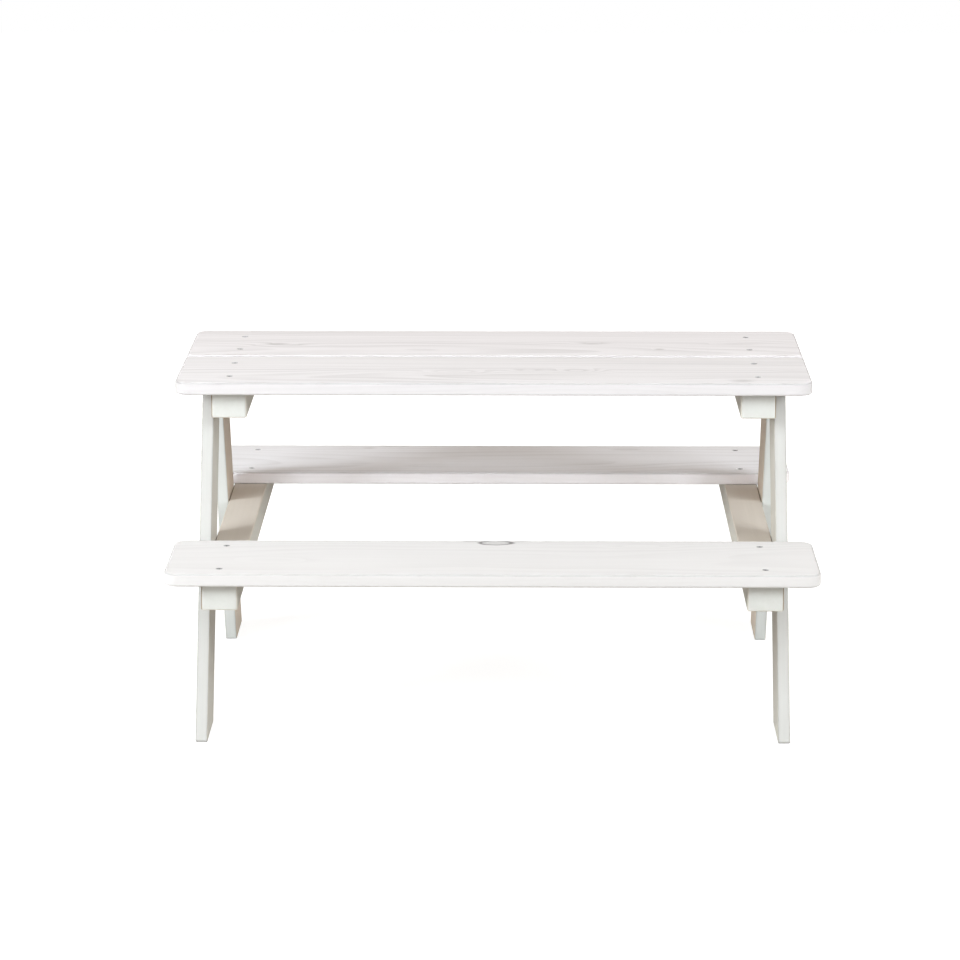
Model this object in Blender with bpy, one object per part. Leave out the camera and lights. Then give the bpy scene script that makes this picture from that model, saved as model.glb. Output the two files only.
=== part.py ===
"""A children's picnic table in softwood, about 90 cm long, for four.

Two A frames carry everything. Each has a front leg and a rear leg, splayed fore and aft and cut level at
the floor and under the tabletop, a short rail under the tabletop and a long rail under both benches. The
rails stand on the inner faces of the legs. Two boards make the tabletop and one board makes each bench.
Countersunk screws hold the boards down on the rails, and the legs to the rails from outside.

The origin is on the floor, under the middle of the table. X runs along the boards, Y from the front bench
to the rear bench, Z up. All sizes are in metres.
"""

from math import cos, pi, radians, sin, tan

import bmesh
import bpy
from mathutils import Matrix, Vector

# The table as a whole
TABLE_LENGTH = 0.900
TABLE_HEIGHT = 0.490
SEAT_HEIGHT = 0.266
END_OVERHANG = 0.0325

# The boards of the tabletop and the benches
TABLETOP_BOARD_WIDTH = 0.195
BENCH_BOARD_WIDTH = 0.195
BOARD_THICKNESS = 0.018
TABLETOP_GAP = 0.008
BOARD_CORNER_RADIUS = 0.020
GAP_CORNER_RADIUS = 0.004
BOARD_ARRIS = 0.003
BOARD_CORNER_STEPS = 6
GAP_CORNER_STEPS = 2

# The legs
LEG_WIDTH = 0.095
LEG_THICKNESS = 0.017
LEG_SPLAY = radians(25)
LEG_TOP_GAP = 0.002
LEG_ARRIS = 0.003

# The rails
RAIL_WIDTH = 0.050
RAIL_HEIGHT = 0.038
RAIL_ARRIS = 0.003
TOP_RAIL_SETBACK = 0.027
SEAT_RAIL_SETBACK = 0.020
BENCH_LEG_CLEARANCE = 0.005
ARRIS_STEPS = 2

# The countersunk wood screws
SCREW_HEAD_DIAMETER = 0.009
SCREW_SHANK_DIAMETER = 0.0045
SCREW_HEAD_LAND = 0.0006
SCREW_HEAD_SINK = 0.0005
SCREW_POINT_LENGTH = 0.006
SCREW_SIDES = 12
CROSS_SLOT_LENGTH = 0.0052
CROSS_SLOT_WIDTH = 0.0012
CROSS_SLOT_DEPTH = 0.0018
CROSS_SLOT_FOOT_SHARE = 0.4

# Where the screws stand
TABLETOP_SCREW_INSET = 0.049
BENCH_SCREW_INSET = 0.032
BOARD_SCREW_TIP_COVER = 0.011
LEG_SCREW_INSET = 0.024
LEG_SCREW_STAGGER = 0.007
LEG_SCREW_CENTRE_CLEARANCE = 0.007

# Names of the two ends along X and the two sides along Y
END_NAMES = {-1: "left", 1: "right"}
SIDE_NAMES = {-1: "front", 1: "rear"}

# Fits and cuts
SEAT_CLEARANCE = 0.0003
HOLE_CLEARANCE = 0.0003
CUT_OVERRUN = 0.002
MERGE_DISTANCE = 0.000001

# Places that follow from the sizes
BOARD_HALF_LENGTH = TABLE_LENGTH / 2
TABLETOP_UNDERSIDE = TABLE_HEIGHT - BOARD_THICKNESS
SEAT_UNDERSIDE = SEAT_HEIGHT - BOARD_THICKNESS
TABLETOP_HALF_WIDTH = TABLETOP_GAP / 2 + TABLETOP_BOARD_WIDTH
LEG_HEIGHT = TABLETOP_UNDERSIDE - SEAT_CLEARANCE
LEG_LEVEL_WIDTH = LEG_WIDTH / cos(LEG_SPLAY)
LEG_OUTER_FACE = BOARD_HALF_LENGTH - END_OVERHANG
LEG_INNER_FACE = LEG_OUTER_FACE - LEG_THICKNESS
RAIL_OUTER_FACE = LEG_INNER_FACE - SEAT_CLEARANCE
RAIL_INNER_FACE = RAIL_OUTER_FACE - RAIL_WIDTH
RAIL_CENTRE = (RAIL_OUTER_FACE + RAIL_INNER_FACE) / 2
BOARD_SCREW_LENGTH = BOARD_THICKNESS + SEAT_CLEARANCE + RAIL_HEIGHT - BOARD_SCREW_TIP_COVER
LEG_SCREW_LENGTH = LEG_THICKNESS + SEAT_CLEARANCE + RAIL_WIDTH / 2 - LEG_SCREW_CENTRE_CLEARANCE


def leg_inner_edge(height):
    """Distance from the table's middle plane to a leg's inner edge at a height."""
    return LEG_TOP_GAP / 2 + (LEG_HEIGHT - height) * tan(LEG_SPLAY)


def leg_outer_edge(height):
    """Distance from the table's middle plane to a leg's outer edge at a height."""
    return leg_inner_edge(height) + LEG_LEVEL_WIDTH


BENCH_INNER_EDGE = leg_outer_edge(SEAT_UNDERSIDE) + BENCH_LEG_CLEARANCE
BENCH_OUTER_EDGE = BENCH_INNER_EDGE + BENCH_BOARD_WIDTH
TOP_RAIL_HALF_LENGTH = TABLETOP_HALF_WIDTH - TOP_RAIL_SETBACK
SEAT_RAIL_HALF_LENGTH = BENCH_OUTER_EDGE - SEAT_RAIL_SETBACK


def clear_scene():
    """Take every object out of the open scene."""
    for item in list(bpy.data.objects):
        bpy.data.objects.remove(item, do_unlink=True)


def make_finish(name, colour, roughness, metallic=0.0):
    """Make a plain finish from a linear colour, a roughness and a metallic value."""
    finish = bpy.data.materials.new(name)
    finish.use_nodes = True
    shader = finish.node_tree.nodes["Principled BSDF"]
    shader.inputs["Base Color"].default_value = (*colour, 1.0)
    shader.inputs["Roughness"].default_value = roughness
    shader.inputs["Metallic"].default_value = metallic
    finish.diffuse_color = (*colour, 1.0)
    return finish


def add_object(name, shape, finish):
    """Close a bmesh into a mesh object of the given name and finish."""
    bmesh.ops.recalc_face_normals(shape, faces=shape.faces)
    mesh = bpy.data.meshes.new(name)
    shape.to_mesh(mesh)
    shape.free()
    if finish:
        mesh.materials.append(finish)
    item = bpy.data.objects.new(name, mesh)
    bpy.context.scene.collection.objects.link(item)
    return item


def prism(outline, sweep):
    """Extrude a closed outline of points along the sweep vector."""
    shape = bmesh.new()
    base = shape.faces.new([shape.verts.new(point) for point in outline])
    raised = bmesh.ops.extrude_face_region(shape, geom=[base])["geom"]
    moved = [part for part in raised if isinstance(part, bmesh.types.BMVert)]
    bmesh.ops.translate(shape, verts=moved, vec=sweep)
    bmesh.ops.recalc_face_normals(shape, faces=shape.faces)
    return shape


def corner_arc(centre_x, centre_y, radius, start, steps):
    """Points of a quarter turn about a corner's centre, from the start angle on."""
    angles = [start + pi / 2 * step / steps for step in range(steps + 1)]
    return [(centre_x + radius * cos(angle), centre_y + radius * sin(angle)) for angle in angles]


def board_outline(half_length, inner_edge, outer_edge, inner_radius, inner_steps):
    """A board in plan, anticlockwise, with its outer corners well rounded and its inner ones as told."""
    outer_y = outer_edge - BOARD_CORNER_RADIUS
    outer_x = half_length - BOARD_CORNER_RADIUS
    inner_y = inner_edge + inner_radius
    inner_x = half_length - inner_radius
    return (
        corner_arc(outer_x, outer_y, BOARD_CORNER_RADIUS, 0.0, BOARD_CORNER_STEPS)
        + corner_arc(-outer_x, outer_y, BOARD_CORNER_RADIUS, pi / 2, BOARD_CORNER_STEPS)
        + corner_arc(-inner_x, inner_y, inner_radius, pi, inner_steps)
        + corner_arc(inner_x, inner_y, inner_radius, 3 * pi / 2, inner_steps)
    )


def make_board(name, side, top, inner_edge, outer_edge, inner_radius, inner_steps, finish):
    """A board on the front (side -1) or rear (side +1), with its upper and lower arrises rounded."""
    plan = board_outline(BOARD_HALF_LENGTH, inner_edge, outer_edge, inner_radius, inner_steps)
    underside = top - BOARD_THICKNESS
    outline = [Vector((side * x, side * y, underside)) for x, y in plan]
    shape = prism(outline, Vector((0.0, 0.0, BOARD_THICKNESS)))
    rims = [edge for edge in shape.edges if edge.verts[0].co.z == edge.verts[1].co.z]
    bmesh.ops.bevel(shape, geom=rims, offset=BOARD_ARRIS, segments=ARRIS_STEPS + 1, profile=0.5, affect="EDGES")
    return add_object(name, shape, finish)


def make_leg(name, end, side, finish):
    """A leg of the left (end -1) or right (end +1) frame: a slanted bar cut level at the floor and the top."""
    outline = [
        Vector((end * LEG_INNER_FACE, side * leg_inner_edge(0.0), 0.0)),
        Vector((end * LEG_INNER_FACE, side * leg_outer_edge(0.0), 0.0)),
        Vector((end * LEG_INNER_FACE, side * leg_outer_edge(LEG_HEIGHT), LEG_HEIGHT)),
        Vector((end * LEG_INNER_FACE, side * leg_inner_edge(LEG_HEIGHT), LEG_HEIGHT)),
    ]
    shape = prism(outline, Vector((end * LEG_THICKNESS, 0.0, 0.0)))
    bmesh.ops.bevel(
        shape, geom=shape.edges[:], offset=LEG_ARRIS, segments=ARRIS_STEPS, profile=0.5, affect="EDGES"
    )
    return add_object(name, shape, finish)


def make_rail(name, end, half_length, underside, finish):
    """A rail of the left or right frame, running fore and aft, with every arris eased."""
    outline = [
        Vector((end * RAIL_INNER_FACE, -half_length, underside)),
        Vector((end * RAIL_OUTER_FACE, -half_length, underside)),
        Vector((end * RAIL_OUTER_FACE, -half_length, underside + RAIL_HEIGHT)),
        Vector((end * RAIL_INNER_FACE, -half_length, underside + RAIL_HEIGHT)),
    ]
    shape = prism(outline, Vector((0.0, 2 * half_length, 0.0)))
    bmesh.ops.bevel(
        shape, geom=shape.edges[:], offset=RAIL_ARRIS, segments=ARRIS_STEPS, profile=0.5, affect="EDGES"
    )
    return add_object(name, shape, finish)


def turned(profile):
    """Turn a profile of (radius, height) points, from axis to axis, about the Z axis."""
    shape = bmesh.new()
    points = [shape.verts.new((radius, 0.0, height)) for radius, height in profile]
    edges = [shape.edges.new(pair) for pair in zip(points, points[1:])]
    bmesh.ops.spin(
        shape, geom=points + edges, cent=(0.0, 0.0, 0.0), axis=(0.0, 0.0, 1.0), angle=2 * pi,
        steps=SCREW_SIDES, use_merge=True
    )
    bmesh.ops.remove_doubles(shape, verts=shape.verts, dist=MERGE_DISTANCE)
    bmesh.ops.recalc_face_normals(shape, faces=shape.faces)
    return shape


def screw_profile(length, growth):
    """A countersunk screw's half section, head up at height zero, grown on all sides for its hole."""
    head_radius = SCREW_HEAD_DIAMETER / 2 + growth
    shank_radius = SCREW_SHANK_DIAMETER / 2 + growth
    land = -SCREW_HEAD_LAND - growth
    neck = land - (head_radius - shank_radius)
    return [
        (head_radius, land),
        (shank_radius, neck),
        (shank_radius, SCREW_POINT_LENGTH - length),
        (0.0, -length - growth),
    ]


def cross_slot(direction):
    """One arm of the drive recess: a slot that narrows towards its foot."""
    shape = bmesh.new()
    bmesh.ops.create_cube(shape, size=1.0)
    height = CROSS_SLOT_DEPTH + CUT_OVERRUN
    scale = Matrix.Diagonal((CROSS_SLOT_LENGTH, CROSS_SLOT_WIDTH, height, 1.0))
    lift = Matrix.Translation((0.0, 0.0, CUT_OVERRUN - height / 2))
    bmesh.ops.transform(shape, matrix=Matrix.Rotation(direction, 4, "Z") @ lift @ scale, verts=shape.verts)
    foot = [vert for vert in shape.verts if vert.co.z < 0.0]
    for vert in foot:
        vert.co.x *= CROSS_SLOT_FOOT_SHARE
        vert.co.y *= CROSS_SLOT_FOOT_SHARE
    return shape


def as_cutter(item):
    """Keep an object as a cutter only: drawn as wire and left out of the model."""
    item.hide_render = True
    item.display_type = "WIRE"
    return item


def cut(item, cutter):
    """Cut one object by another with an exact Boolean."""
    boolean = item.modifiers.new("cut " + cutter.name, "BOOLEAN")
    boolean.operation = "DIFFERENCE"
    boolean.solver = "EXACT"
    boolean.object = cutter


def make_screw_pattern(name, length):
    """One screw with its cross recess, as a mesh that every screw of that length is copied from."""
    screw = add_object(name, turned([(0.0, 0.0), (SCREW_HEAD_DIAMETER / 2, 0.0)] + screw_profile(length, 0.0)), None)
    arms = [as_cutter(add_object(f"{name}_slot_{turn}", cross_slot(turn * pi / 2), None)) for turn in range(2)]
    for arm in arms:
        cut(screw, arm)
    depsgraph = bpy.context.evaluated_depsgraph_get()
    pattern = bpy.data.meshes.new_from_object(screw.evaluated_get(depsgraph))
    for item in [screw, *arms]:
        bpy.data.objects.remove(item, do_unlink=True)
    return pattern


def make_hole_pattern(length):
    """The hole of one screw: countersink, clearance bore and pilot, open above the head."""
    top = CUT_OVERRUN
    radius = SCREW_HEAD_DIAMETER / 2 + HOLE_CLEARANCE
    shape = turned([(0.0, top), (radius, top)] + screw_profile(length, HOLE_CLEARANCE))
    pattern = bpy.data.meshes.new("hole pattern")
    shape.to_mesh(pattern)
    shape.free()
    return pattern


def place_screws(pattern, places, finish):
    """One object for each screw, all of one length sharing a mesh, each put in its own place."""
    if not pattern.materials:
        pattern.materials.append(finish)
    for name, place in places.items():
        screw = bpy.data.objects.new(name, pattern)
        screw.matrix_world = place
        bpy.context.scene.collection.objects.link(screw)


def make_holes(name, pattern, places):
    """The holes of a group of screws, as one cutter of separate solids."""
    shape = bmesh.new()
    for place in places.values():
        start = len(shape.verts)
        shape.from_mesh(pattern)
        shape.verts.ensure_lookup_table()
        bmesh.ops.transform(shape, matrix=place, verts=shape.verts[start:])
    return as_cutter(add_object(name, shape, None))


def board_screw_places(label, top, side, rows):
    """Upright screws in a board, an inner and an outer one on each rail's centre line."""
    height = top - SCREW_HEAD_SINK
    return {
        f"{label}_screw_{SIDE_NAMES[side]}_{END_NAMES[end]}_{row_name}":
            Matrix.Translation((end * RAIL_CENTRE, side * row, height))
        for end in END_NAMES
        for row_name, row in zip(("inner", "outer"), rows)
    }


def leg_screw_places(label, end, underside):
    """Level screws through the legs of one frame into a rail, two in each leg, staggered in height."""
    middle = underside + RAIL_HEIGHT / 2
    upper = middle + LEG_SCREW_STAGGER
    lower = middle - LEG_SCREW_STAGGER
    inner = leg_inner_edge(upper) + LEG_SCREW_INSET
    outer = leg_outer_edge(lower) - LEG_SCREW_INSET
    head = end * (LEG_OUTER_FACE - SCREW_HEAD_SINK)
    turn = Matrix.Rotation(end * pi / 2, 4, "Y")
    return {
        f"{label}_screw_{SIDE_NAMES[side]}_{END_NAMES[end]}_{row_name}":
            Matrix.Translation((head, side * row, height)) @ turn
        for side in SIDE_NAMES
        for row_name, row, height in (("upper", inner, upper), ("lower", outer, lower))
    }


def main():
    """Build the table."""
    clear_scene()
    glaze = make_finish("white_glazed_pine", (0.855, 0.827, 0.815), 0.45)
    paint = make_finish("off_white_paint", (0.838, 0.838, 0.776), 0.40)
    steel = make_finish("zinc_plated_steel", (0.72, 0.72, 0.72), 0.35, 1.0)

    board_screw = make_screw_pattern("board_screw", BOARD_SCREW_LENGTH)
    leg_screw = make_screw_pattern("leg_screw", LEG_SCREW_LENGTH)
    board_hole = make_hole_pattern(BOARD_SCREW_LENGTH)
    leg_hole = make_hole_pattern(LEG_SCREW_LENGTH)

    top_rail_underside = TABLETOP_UNDERSIDE - SEAT_CLEARANCE - RAIL_HEIGHT
    seat_rail_underside = SEAT_UNDERSIDE - SEAT_CLEARANCE - RAIL_HEIGHT
    top_rails = {}
    seat_rails = {}
    for end, end_name in END_NAMES.items():
        legs = [make_leg(f"leg_{side_name}_{end_name}", end, side, paint) for side, side_name in SIDE_NAMES.items()]
        top_rails[end] = make_rail(f"top_rail_{end_name}", end, TOP_RAIL_HALF_LENGTH, top_rail_underside, paint)
        seat_rails[end] = make_rail(f"seat_rail_{end_name}", end, SEAT_RAIL_HALF_LENGTH, seat_rail_underside, paint)
        for rail, underside, label in (
            (top_rails[end], top_rail_underside, "top_rail"),
            (seat_rails[end], seat_rail_underside, "seat_rail"),
        ):
            places = leg_screw_places(label, end, underside)
            place_screws(leg_screw, places, steel)
            holes = make_holes(f"{label}_holes_{end_name}", leg_hole, places)
            for target in (rail, *legs):
                cut(target, holes)

    tabletop_rows = (TABLETOP_GAP / 2 + TABLETOP_SCREW_INSET, TABLETOP_HALF_WIDTH - TABLETOP_SCREW_INSET)
    bench_rows = (BENCH_INNER_EDGE + BENCH_SCREW_INSET, BENCH_OUTER_EDGE - BENCH_SCREW_INSET)
    for side, side_name in SIDE_NAMES.items():
        tabletop = make_board(
            f"tabletop_board_{side_name}", side, TABLE_HEIGHT, TABLETOP_GAP / 2, TABLETOP_HALF_WIDTH,
            GAP_CORNER_RADIUS, GAP_CORNER_STEPS, glaze
        )
        bench = make_board(
            f"bench_board_{side_name}", side, SEAT_HEIGHT, BENCH_INNER_EDGE, BENCH_OUTER_EDGE,
            BOARD_CORNER_RADIUS, BOARD_CORNER_STEPS, glaze
        )
        for board, rails, top, rows, label in (
            (tabletop, top_rails, TABLE_HEIGHT, tabletop_rows, "tabletop"),
            (bench, seat_rails, SEAT_HEIGHT, bench_rows, "bench"),
        ):
            places = board_screw_places(label, top, side, rows)
            place_screws(board_screw, places, steel)
            holes = make_holes(f"{label}_holes_{side_name}", board_hole, places)
            for target in (board, *rails.values()):
                cut(target, holes)


main()
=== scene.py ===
"""The looks of a low picnic table for children, in white-glazed pine on an off-white painted frame.

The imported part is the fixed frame: every board, leg, rail and screw made here stands exactly where its node
stands and takes its size from that node's box. Wooden pieces are rounded plates, worked out as grids with
real screw holes in them. Screws are polar grids with a cross recess and a thread. Lengths are in metres.
"""

import logging
from dataclasses import dataclass, field
from enum import Enum
from math import cos, hypot, pi, radians, sin, tan

import bpy
import numpy as np
from mathutils import Matrix, Vector


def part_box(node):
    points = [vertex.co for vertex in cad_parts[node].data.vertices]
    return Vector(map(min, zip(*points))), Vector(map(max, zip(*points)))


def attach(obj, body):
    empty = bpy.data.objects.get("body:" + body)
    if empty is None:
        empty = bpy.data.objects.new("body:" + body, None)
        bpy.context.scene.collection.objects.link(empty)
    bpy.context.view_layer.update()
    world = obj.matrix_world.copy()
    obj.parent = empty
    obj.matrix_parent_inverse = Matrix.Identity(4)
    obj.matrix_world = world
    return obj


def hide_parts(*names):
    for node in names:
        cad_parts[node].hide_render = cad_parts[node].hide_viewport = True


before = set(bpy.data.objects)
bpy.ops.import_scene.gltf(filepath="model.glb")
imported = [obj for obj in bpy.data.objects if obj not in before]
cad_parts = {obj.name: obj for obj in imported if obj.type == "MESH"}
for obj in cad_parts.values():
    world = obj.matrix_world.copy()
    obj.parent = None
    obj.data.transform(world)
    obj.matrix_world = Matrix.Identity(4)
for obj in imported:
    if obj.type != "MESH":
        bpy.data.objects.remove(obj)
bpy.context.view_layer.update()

LOG = logging.getLogger("picnic_table")

# The body that every piece rides on, and the attribute of wear that also marks where shade is painted.
BODY = "root"
WEAR_AND_SHADE = "wear"

# The legs' slant from upright, and their width square to their length.
SPLAY = radians(25)
LEG_WIDTH = 0.095

# The angle from which an edge is shaded sharp.
SMOOTH = radians(38)

# From where to where a normal's part along an axis begins to count as facing that way.
TURNED = (0.6, 0.95)

# The side of the picture in pixels, and of the camera's sensor in millimetres.
IMAGE_SIDE = 960
SENSOR = 36.0

Feed = float | tuple | bpy.types.NodeSocket


def leg_line() -> float:
    """Where a leg's inner edge, drawn on, would meet the floor, from the table's middle."""
    low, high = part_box("leg_front_left")
    return abs(low.y + high.y) / 2 - LEG_WIDTH / cos(SPLAY) / 2 + tan(SPLAY) * (low.z + high.z) / 2


LEG_LINE = leg_line()


class Side(Enum):
    """The front or the rear of the table, with its sign along Y."""

    FRONT = -1
    REAR = 1

    @property
    def word(self) -> str:
        """The side's name inside a node's name."""
        return self.name.lower()


class End(Enum):
    """The left or the right end of the table, with its sign along X."""

    LEFT = -1
    RIGHT = 1

    @property
    def word(self) -> str:
        """The end's name inside a node's name."""
        return self.name.lower()


class Level(Enum):
    """The tabletop or the benches, with the words for the boards and the rails in the nodes' names."""

    TABLETOP = ("tabletop", "top_rail")
    BENCH = ("bench", "seat_rail")

    @property
    def boards(self) -> str:
        """The word for its boards."""
        return self.value[0]

    @property
    def rail(self) -> str:
        """The word for the rails that carry them."""
        return self.value[1]

    def screws(self, side: Side, end: End) -> list[str]:
        """The nodes of the screws that hold one board to one rail."""
        return [f"{self.boards}_screw_{side.word}_{end.word}_{row}" for row in ("inner", "outer")]


class Run(Enum):
    """Which way the fibres of a painted piece run, as the turn that brings them to the pattern's X axis."""

    FORE_AND_AFT = (0.0, 0.0, -pi / 2)
    UP_FRONT_LEG = (SPLAY, pi / 2, 0.0)
    UP_REAR_LEG = (-SPLAY, pi / 2, 0.0)


class NodeSheet:
    """Lays out one material's nodes and links them."""

    def __init__(self, name: str) -> None:
        """Start a material with one surface shader.

        Args:
            name: The material's name.
        """
        self.material = bpy.data.materials.new(name)
        self.material.use_nodes = True
        self.tree = self.material.node_tree
        self.shader = self.tree.nodes["Principled BSDF"]

    def add(self, kind: str, **settings: object) -> bpy.types.Node:
        """Add a node.

        Args:
            kind: The node's type name without its ShaderNode prefix.
            settings: Properties to set on it.

        Returns:
            The new node.
        """
        node = self.tree.nodes.new("ShaderNode" + kind)
        for key, value in settings.items():
            setattr(node, key, value)
        return node

    def feed(self, socket: bpy.types.NodeSocket, value: Feed) -> None:
        """Link a socket from another, or set its value.

        Args:
            socket: The input.
            value: A socket to link from, or a plain value.
        """
        if isinstance(value, bpy.types.NodeSocket):
            self.tree.links.new(value, socket)
        else:
            socket.default_value = value

    def place(self) -> bpy.types.NodeSocket:
        """The point on the piece, in the row frame."""
        return self.add("TexCoord").outputs["Object"]

    def facing(self) -> bpy.types.NodeSocket:
        """The way that the surface faces."""
        return self.add("NewGeometry").outputs["Normal"]

    def eased(self) -> bpy.types.NodeSocket:
        """How far an arris is eased or a recess filled, and where shade is painted: the piece's attribute."""
        return self.add("Attribute", attribute_name=WEAR_AND_SHADE).outputs["Fac"]

    def parts(self, vector: bpy.types.NodeSocket) -> list[bpy.types.NodeSocket]:
        """Take a vector apart.

        Args:
            vector: The vector.

        Returns:
            Its X, Y and Z.
        """
        node = self.add("SeparateXYZ")
        self.feed(node.inputs[0], vector)
        return list(node.outputs)

    def math(self, operation: str, *values: Feed, clamp: bool = False) -> bpy.types.NodeSocket:
        """A number worked out from one to three others.

        Args:
            operation: The name of the Math node's operation.
            values: Its inputs in order.
            clamp: Whether the result is kept between nought and one.

        Returns:
            The result's socket.
        """
        node = self.add("Math", operation=operation, use_clamp=clamp)
        for socket, value in zip(node.inputs, values):
            self.feed(socket, value)
        return node.outputs[0]

    def noise(
        self, place: bpy.types.NodeSocket, waves: tuple, detail: float = 2.0, roughness: float = 0.5
    ) -> bpy.types.NodeSocket:
        """Smooth noise around one half, with its own number of waves per metre along each axis.

        Args:
            place: The point at which it is read.
            waves: Waves per metre along X, Y and Z.
            detail: How many finer layers are added.
            roughness: How strong the finer layers are.

        Returns:
            The noise value's socket.
        """
        scaled = self.add("VectorMath", operation="MULTIPLY")
        self.feed(scaled.inputs[0], place)
        self.feed(scaled.inputs[1], waves)
        node = self.add("TexNoise")
        self.feed(node.inputs["Vector"], scaled.outputs[0])
        node.inputs["Scale"].default_value = 1.0
        node.inputs["Detail"].default_value = detail
        node.inputs["Roughness"].default_value = roughness
        return node.outputs[0]

    def swing(
        self, place: bpy.types.NodeSocket, waves: tuple, detail: float = 2.0, roughness: float = 0.5
    ) -> bpy.types.NodeSocket:
        """The same noise, about nought."""
        return self.math("SUBTRACT", self.noise(place, waves, detail, roughness), 0.5)

    def length(self, x: Feed, y: Feed) -> bpy.types.NodeSocket:
        """The square root of the sum of two squares."""
        squares = (self.math("POWER", x, 2.0), self.math("POWER", y, 2.0))
        return self.math("SQRT", self.math("ADD", *squares))

    def fade(
        self, value: Feed, start: float, end: float, low: float = 0.0, high: float = 1.0
    ) -> bpy.types.NodeSocket:
        """A soft step from low to high while a value goes from start to end.

        Args:
            value: The value that is read.
            start: Where the step starts.
            end: Where the step ends.
            low: The result before the step.
            high: The result after it.

        Returns:
            The step's socket.
        """
        node = self.add("MapRange", interpolation_type="SMOOTHSTEP")
        for socket, item in zip(node.inputs, (value, start, end, low, high)):
            self.feed(socket, item)
        return node.outputs[0]

    def blend(self, share: Feed, first: Feed, second: Feed, kind: str = "MIX") -> bpy.types.NodeSocket:
        """Mix two colours.

        Args:
            share: How much of the second colour is taken.
            first: The colour at share nought, as a socket or three numbers.
            second: The colour at share one, as a socket or three numbers.
            kind: How the second is laid over the first.

        Returns:
            The mixed colour's socket.
        """
        node = self.add("Mix", data_type="RGBA", clamp_factor=True, blend_type=kind)
        colour_a, colour_b = [socket for socket in node.inputs if socket.type == "RGBA"]
        self.feed(node.inputs[0], share)
        self.feed(colour_a, first if isinstance(first, bpy.types.NodeSocket) else (*first, 1.0))
        self.feed(colour_b, second if isinstance(second, bpy.types.NodeSocket) else (*second, 1.0))
        return [socket for socket in node.outputs if socket.type == "RGBA"][0]

    def oval(
        self, x: Feed, y: Feed, centre: tuple[float, float], half: tuple[float, float]
    ) -> bpy.types.NodeSocket:
        """How far out a point lies on an oval: nought at its centre and one on its rim.

        Args:
            x: The point's place along the board.
            y: The point's place across it.
            centre: The oval's centre.
            half: Its half length and half width.

        Returns:
            The distance's socket.
        """
        away_x = self.math("DIVIDE", self.math("SUBTRACT", x, centre[0]), half[0])
        away_y = self.math("DIVIDE", self.math("SUBTRACT", y, centre[1]), half[1])
        return self.length(away_x, away_y)

    def finish(
        self, colour: bpy.types.NodeSocket, roughness: Feed, height: bpy.types.NodeSocket, reach: float
    ) -> bpy.types.Material:
        """Give the surface its colour and roughness, and let a height pattern tilt the shading.

        Args:
            colour: The colour.
            roughness: The roughness.
            height: The pattern.
            reach: How high its value of one stands.

        Returns:
            The finished material.
        """
        self.feed(self.shader.inputs["Base Color"], colour)
        self.feed(self.shader.inputs["Roughness"], roughness)
        bump = self.add("Bump")
        bump.inputs["Distance"].default_value = reach
        self.feed(bump.inputs["Height"], height)
        self.feed(self.shader.inputs["Normal"], bump.outputs[0])
        return self.material


@dataclass(frozen=True)
class Figure:
    """A place where a branch pushed the rings of a board aside.

    Attributes:
        along: Its centre along the board.
        across: Its centre across the board.
        length: Half the length of the swirl.
        width: Half the width of the swirl.
        lift: How many rings it pushes aside.
        core: Half the length of the knot's own oval, nought where the knot stays under the face.
        stain: How grey the place is.
    """

    along: float
    across: float
    length: float
    width: float
    lift: float
    core: float = 0.0
    stain: float = 0.0


@dataclass(frozen=True)
class Stock:
    """The timber of one board: how it lay in its log, its knots, and its glaze tone with painted light.

    Attributes:
        pith_across: Where the pith lies across the table, in the middle of the board's length.
        pith_height: How high it lies there.
        slope_across: How far it moves across, per length.
        slope_height: How far it rises, per length.
        glaze: The colour of its glaze on early wood, partly painted light: lighter on a board in shade.
        figures: Its knots and swirls.
        edge: Painted light on its upright faces: how much of the glaze colour they keep.
        contrast: How strongly its grain shows.
        ring: The width of a year's ring.
    """

    pith_across: float
    pith_height: float
    slope_across: float
    slope_height: float
    glaze: tuple[float, float, float]
    figures: tuple[Figure, ...]
    edge: tuple[float, float, float] = (1.0, 1.0, 1.0)
    contrast: float = 1.0
    ring: float = 0.0065


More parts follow.
